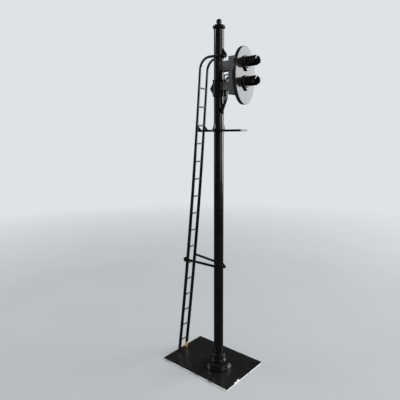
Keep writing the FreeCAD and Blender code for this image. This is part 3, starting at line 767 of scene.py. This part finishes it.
def ladder_rail(side, name, node):
    """One ladder rail: a flat strip from the plate, over its bend and round the mast to the nose."""
    inside = RAIL_MIDDLE - RAIL_THICK / 2
    outside = inside + RAIL_THICK
    soft = 0.1
    nose_reach = 4.0
    nose_start = 1.05
    # Each strap stops just short of the middle, so the two rails don't touch.
    nose_gap = 0.012

    def build(work):
        rings = []
        line = rail_line(60)
        total = len(line)
        for k, (point, width) in enumerate(line):
            before = line[max(k - 1, 0)][0]
            after = line[min(k + 1, total - 1)][0]
            along = (after - before).normalized()
            out = Vector((along.y, -along.x))
            if k == 0:
                out = Vector((1, 0))
            ring = []
            for p in strip_section(width / 2, RAIL_THICK / 2, soft):
                spot = point + out * p.x
                ring.append(Vector((spot.x, side * (RAIL_MIDDLE + p.y), spot.y)) * MM)
            rings.append(ring)
        # The level strap turns in to the nose ahead of the mast.
        slope = Vector((nose_reach - nose_start, -outside)).normalized()
        set_back = RAIL_THICK / -slope.y
        knee_in = Vector((nose_reach - set_back + inside * slope.x / slope.y, inside))
        knee_out = Vector((nose_start, outside))
        stations = []
        for k in range(7):
            share = k / 6
            corner_in = Vector((0, inside)).lerp(knee_in, share)
            corner_out = Vector((0, outside)).lerp(knee_out, share)
            stations.append((corner_in, corner_out))
        nose_in = Vector((nose_reach - set_back, nose_gap))
        stations.append((nose_in, Vector((nose_reach, nose_gap))))
        for corner_in, corner_out in stations:
            ring = []
            for p in strip_section(RAIL_TOP_WIDTH / 2, RAIL_THICK / 2, soft):
                share = (p.y + RAIL_THICK / 2) / RAIL_THICK
                spot = corner_in.lerp(corner_out, share)
                # Out of the bend the strip's own width points down, so its sign is kept here.
                ring.append(Vector((spot.x, side * spot.y, STRAP_HEIGHT - p.x)) * MM)
            rings.append(ring)
        join_rings(work, rings)

    mesh = mesh_from(name, build)
    made = piece_from(name, mesh, MATERIALS["rail_paint"], (node,))
    even_normals(made)


def rung_spots():
    """Where each rung is, as distance behind the mast and height."""
    count = 16
    first = 5.7
    pitch = 7.55
    rise = STRAP_HEIGHT - BEND_RADIUS - PLATE_TOP
    top = BEND_BACK - BEND_RADIUS * math.cos(math.radians(BEND_LEAN))
    spots = []
    for k in range(count):
        height = first + k * pitch
        spots.append((bowed(RAIL_FOOT, top, (height - PLATE_TOP) / rise), height))
    return spots


def ladder_rungs():
    """Sixteen rungs with rounded ends and a collar of solder inside each rail."""
    reach = box_of("ladder_rungs")[1].y
    radius = 0.3
    # The solder starts a hair inside the rail, so that no gap shows between them.
    rail_inside = RAIL_MIDDLE - RAIL_THICK / 2 + 0.005
    solder = [(0, 0), (0.46, 0), (0.38, 0.1), (0.32, 0.28), (0, 0.28)]

    def build(work):
        for x, height in rung_spots():
            capped_rod(work, Vector((x, -reach, height)), Vector((x, reach, height)), radius)
            for side in (-1, 1):
                start = Matrix.Translation(Vector((x, side * rail_inside, height)) * MM)
                inward = UP.rotation_difference(Vector((0, -side, 0))).to_matrix().to_4x4()
                lathe(work, solder, start @ inward, 20)

    mesh = mesh_from("ladder_rungs_fine", build)
    piece_from("ladder_rungs_fine", mesh, MATERIALS["black_paint"], ("ladder_rungs",))


def on_face(lamp_height, roll=0.0):
    """Where a lamp's own parts stand: their +Z looks along +X from the target's face."""
    turn = Matrix.Rotation(math.radians(-roll), 4, "X") @ Matrix.Rotation(math.radians(90), 4, "Y")
    return Matrix.Translation(Vector((TARGET_FACE, 0, lamp_height)) * MM) @ turn


def lamp_hood(lamp, height):
    """Lamp tube with its hood: the lower front is cut away at a slant and then right back."""
    roll = 13.0
    place = on_face(height, roll)
    bore = 1.55
    front = 5.5
    soft = 0.04
    corners = [(bore, -HOOD_BACK), (HOOD_RADIUS, -HOOD_BACK), (HOOD_RADIUS, front), (bore, front)]
    tube = turned_mesh("hood_tube", rounded(corners, soft, steps=2), place, 112)
    # Seen from the side: how far down the cut is, and how far ahead of the target.
    slant_depth = 1.2
    slant_end = 4.0
    cut_back = 0.9
    clear = 3.0
    ahead = 6.5
    outline = [
        (0, ahead),
        (0, 5.49),
        (slant_depth, slant_end),
        (slant_depth, cut_back),
        (clear, cut_back),
        (clear, ahead),
    ]

    def wedge(work):
        rings = []
        for y in (-4.0, 4.0):
            rings.append([place @ (Vector((x, y, z)) * MM) for x, z in outline])
        join_rings(work, rings)

    mesh = cut_with(tube, [mesh_from("hood_wedge", wedge)])
    name = f"{lamp}_hood_fine"
    made = piece_from(name, mesh, MATERIALS["hood_paint"], (f"{lamp}_hood",))
    soften(made, soft, 2, 40)
    even_normals(made)


def lamp_bezel(lamp, height):
    """Teardrop collar on the target's face, with soft front edges."""
    place = on_face(height)
    radius = 2.45
    lip = 3.4
    thick = 0.8
    slant = math.acos(radius / lip)
    steps = 144

    def reach(turn):
        away = abs((turn + math.pi) % (2 * math.pi) - math.pi)
        if away >= slant:
            return radius
        return radius / math.cos(slant - away)

    def build(work):
        rings = []
        soft = 0.16
        levels = [(0, 0.0), (thick - soft, 0.0), (thick - soft * 0.3, -soft * 0.3), (thick, -soft)]
        for level, shrink in levels:
            ring = []
            for k in range(steps):
                turn = 2 * math.pi * k / steps
                far = reach(turn) + shrink
                ring.append(place @ (Vector((far * math.cos(turn), far * math.sin(turn), level)) * MM))
            rings.append(ring)
        for level in (thick, 0):
            ring = []
            for k in range(steps):
                turn = 2 * math.pi * k / steps
                spot = Vector((HOOD_FIT * math.cos(turn), HOOD_FIT * math.sin(turn), level))
                ring.append(place @ (spot * MM))
            rings.append(ring)
        join_rings(work, rings, loop=True)

    name = f"{lamp}_bezel_fine"
    mesh = mesh_from(name, build)
    made = piece_from(name, mesh, MATERIALS["hood_paint"], (f"{lamp}_bezel",))
    even_normals(made)


def lamp_led(lamp, height, finish):
    """LED with its flange and its domed body."""
    node = lamp.replace("lamp", "led")
    place = on_face(height)
    base = -HOOD_BACK - LED_FLANGE
    flange_top = base + LED_FLANGE
    radius = 1.5
    tip = base + 5.3
    profile = [Vector((0, base))]
    flange = [(1.3, base), (1.9, base), (1.9, flange_top), (radius, flange_top)]
    profile += rounded(flange, 0.08, closed=False)
    for step in range(13):
        turn = math.radians(90 * step / 12)
        profile.append(Vector((radius * math.cos(turn), tip - radius + radius * math.sin(turn))))
    outline = [(p.x, p.y) for p in profile]
    outline[-1] = (0, tip)
    name = f"{node}_fine"
    mesh = mesh_from(name, lambda work: lathe(work, outline, place, 72))
    piece_from(name, mesh, MATERIALS[finish], (node,))


def wires():
    """Three covered wires and the bare jumper, as round rods with clean bends."""
    radius = 0.25
    bend = 0.35
    # Along X: the ends of the lamps' leads, and where the wires run inside the housing's back.
    lead_length = 0.6
    lead_end = TARGET_FACE - HOOD_BACK - LED_FLANGE - lead_length - 0.01
    housing_inside = 6.8 + 0.4
    in_housing = housing_inside + 0.55
    lead_side = 1.27
    # Heights: the cable hole, how far the outer wires leave it above and below, and the mast's hole.
    cable = 122.5
    rise = 0.7
    entry = 110.2
    slant = 2.4
    tail = 0.4
    # Each route: its side, how far ahead of the mast it drops, its height at the cable hole, its start.
    routes = {
        "common_wire": (0.55, 3.7, cable, [(housing_inside + 0.73, lead_side, cable + 1.5)]),
        "upper_lamp_wire": (
            -0.55,
            3.1,
            cable + rise,
            [(lead_end, -lead_side, UPPER_LAMP), (in_housing, -lead_side, UPPER_LAMP)],
        ),
        "lower_lamp_wire": (
            0.0,
            3.4,
            cable - rise,
            [(lead_end, -lead_side, LOWER_LAMP), (in_housing, -lead_side, LOWER_LAMP)],
        ),
    }
    for node, (y, ahead, exit_height, inside) in routes.items():
        knee = entry + slant * (ahead - MAST_RADIUS)
        corners = inside + [
            (in_housing, y, exit_height),
            (ahead, y, exit_height),
            (ahead, y, knee),
            (0, y, knee - slant * ahead),
            (0, y, tail),
        ]
        path = arc_path([Vector(corner) for corner in corners], bend)
        mesh = mesh_from(f"{node}_fine", lambda work: sweep_round(work, path, radius, 24))
        piece_from(f"{node}_fine", mesh, MATERIALS["wire_cover"], (node,))
    low, high = box_of("lead_jumper")
    middle = (low + high) / 2
    start = Vector((middle.x, middle.y, low.z))
    end = Vector((middle.x, middle.y, high.z))
    mesh = mesh_from("lead_jumper_fine", lambda work: capped_rod(work, start, end, radius, 24))
    piece_from("lead_jumper_fine", mesh, MATERIALS["tinned_wire"], ("lead_jumper",))


def cad_pieces():
    """CAD nodes that are shown as they are, with soft edges and their slot's material."""
    shown = {
        "base_plate": ("plate_paint", 0.09, 3),
        "ladder_top_gusset": ("black_paint", 0.1, 3),
        "ladder_stay_left": ("black_paint", 0.1, 3),
        "ladder_stay_right": ("black_paint", 0.1, 3),
        "service_platform": ("black_paint", 0.12, 3),
        "platform_gussets": ("black_paint", 0.06, 2),
        "head_clamp_band": ("black_paint", 0.1, 3),
        "head_bracket": ("bracket_paint", 0.08, 2),
        "lamp_housing": ("head_paint", 0.1, 3),
        "target_plate": ("target_paint", 0.14, 3),
        "upper_led_leads": ("tinned_wire", 0.05, 2),
        "lower_led_leads": ("tinned_wire", 0.05, 2),
    }
    for node, (finish, width, steps) in shown.items():
        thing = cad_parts[node]
        thing.data.materials.clear()
        thing.data.materials.append(MATERIALS[finish])
        soften(thing, width, steps)
        even_normals(thing)


# ---- Studio ----


def stage_floor():
    """Pale matt floor that fades into the room's colour with distance, so no edge shows from any side."""
    material, tree, shader, place = graph_for("studio_floor")
    grain = remap(tree, noise(tree, place, 0.02, 5.0), 0.3, 0.7, 0.0, 1.0)
    pale = mix_colour(tree, grain, (0.40, 0.41, 0.41), (0.42, 0.43, 0.43))
    rays = tree.nodes.new("ShaderNodeLightPath")
    mirrored = rays.outputs["Is Glossy Ray"]
    near = mix_colour(tree, mirrored, pale, ROOM_IN_MIRRORS)
    room = mix_colour(tree, mirrored, ROOM, ROOM_IN_MIRRORS)
    distance = tree.nodes.new("ShaderNodeVectorMath")
    distance.operation = "LENGTH"
    tree.links.new(place, distance.inputs[0])
    far = remap(tree, distance.outputs["Value"], FADE_START * MM, FADE_END * MM, 0.0, 1.0)
    tree.links.new(mix_colour(tree, far, near, (0.0, 0.0, 0.0)), shader.inputs["Base Color"])
    tree.links.new(room, shader.inputs["Emission Color"])
    tree.links.new(far, shader.inputs["Emission Strength"])
    shader.inputs["Roughness"].default_value = 0.9
    shader.inputs["Specular IOR Level"].default_value = 0.0

    def build(work):
        corners = ((-1, -1), (1, -1), (1, 1), (-1, 1))
        work.faces.new([work.verts.new(Vector((x, y, 0)) * FLOOR_REACH * MM) for x, y in corners])

    # The far floor only looks like the room. It isn't a lamp.
    material.cycles.emission_sampling = "NONE"
    mesh = mesh_from("studio_floor", build)
    mesh.materials.append(material)
    floor = bpy.data.objects.new("studio_floor", mesh)
    bpy.context.scene.collection.objects.link(floor)


def lamp_panel(name, place, target, wide, tall, glow):
    """Soft rectangular light that looks at a target. Places are in mm, and glow is its radiance."""
    data = bpy.data.lights.new(name, "AREA")
    data.shape = "RECTANGLE"
    data.size = wide * MM
    data.size_y = tall * MM
    data.energy = glow * math.pi * data.size * data.size_y
    data.color = (0.95, 0.975, 1.0)
    light = bpy.data.objects.new(name, data)
    light.location = Vector(place) * MM
    aim = Vector(target) - Vector(place)
    light.rotation_mode = "QUATERNION"
    light.rotation_quaternion = aim.to_track_quat("-Z", "Y")
    bpy.context.scene.collection.objects.link(light)


def studio():
    """Pale room that looks dim in mirrors, with panels where the paint's highlights come from."""
    world = bpy.data.worlds.new("studio")
    bpy.context.scene.world = world
    world.use_nodes = True
    tree = world.node_tree
    sky = next(node for node in tree.nodes if node.type == "BACKGROUND")
    rays = tree.nodes.new("ShaderNodeLightPath")
    seen = mix_colour(tree, rays.outputs["Is Glossy Ray"], ROOM, ROOM_IN_MIRRORS)
    tree.links.new(seen, sky.inputs["Color"])
    sky.inputs["Strength"].default_value = 1.0
    head = Vector((TARGET_FACE, 0, 122))
    mast_middle = Vector((0, 0, 60))
    # Window on the lamps' side: the target, the hood rims and the mast's right edge mirror it.
    lamp_panel("face_panel", (385, 500, 250), head, 470, 500, 7.2)
    # Dim wide light in front of the lamps: the soft band between the mast's middle and its right line.
    lamp_panel("front_panel", (645, -85, 260), head, 480, 500, 1.7)
    # Slim window at the left: the thin line down the mast's left side.
    lamp_panel("left_panel", (-470, -215, 260), mast_middle, 120, 520, 1.9)
    # Small soft box for glints on the foot's rings and the plate's near edge.
    lamp_panel("foot_panel", (-390, -310, 330), (0, 0, 0), 150, 150, 8.0)


def camera():
    """The photo's camera."""
    data = bpy.data.cameras.new("photo_camera")
    data.sensor_width = 36
    data.lens = CAMERA_LENS
    data.shift_y = CAMERA_SHIFT
    data.clip_start = 0.005
    data.clip_end = 20
    turn = math.radians(CAMERA_TURN)
    pitch = math.radians(CAMERA_PITCH)
    ahead = Vector((-math.sin(turn) * math.cos(pitch), math.cos(turn) * math.cos(pitch), -math.sin(pitch)))
    right = Vector((math.cos(turn), math.sin(turn), 0))
    up = right.cross(ahead)
    facing = Matrix((right, up, -ahead)).transposed().to_4x4()
    roll = Matrix.Rotation(math.radians(CAMERA_ROLL), 4, "Z")
    made = bpy.data.objects.new("photo_camera", data)
    made.matrix_world = Matrix.Translation(CAMERA_PLACE) @ facing @ roll
    bpy.context.scene.collection.objects.link(made)
    bpy.context.scene.camera = made


mast_tube()
mast_foot()
finial_cap()
platform_collar()
ladder_rail(-1, "ladder_rail_left_fine", "ladder_rail_left")
ladder_rail(1, "ladder_rail_right_fine", "ladder_rail_right")
ladder_rungs()
LAMPS = (("upper_lamp", UPPER_LAMP, "red_lens"), ("lower_lamp", LOWER_LAMP, "green_lens"))
for lamp, height, finish in LAMPS:
    lamp_hood(lamp, height)
    lamp_bezel(lamp, height)
    lamp_led(lamp, height, finish)
wires()
cad_pieces()
stage_floor()
studio()
camera()

bpy.context.scene.view_settings.view_transform = "Standard"
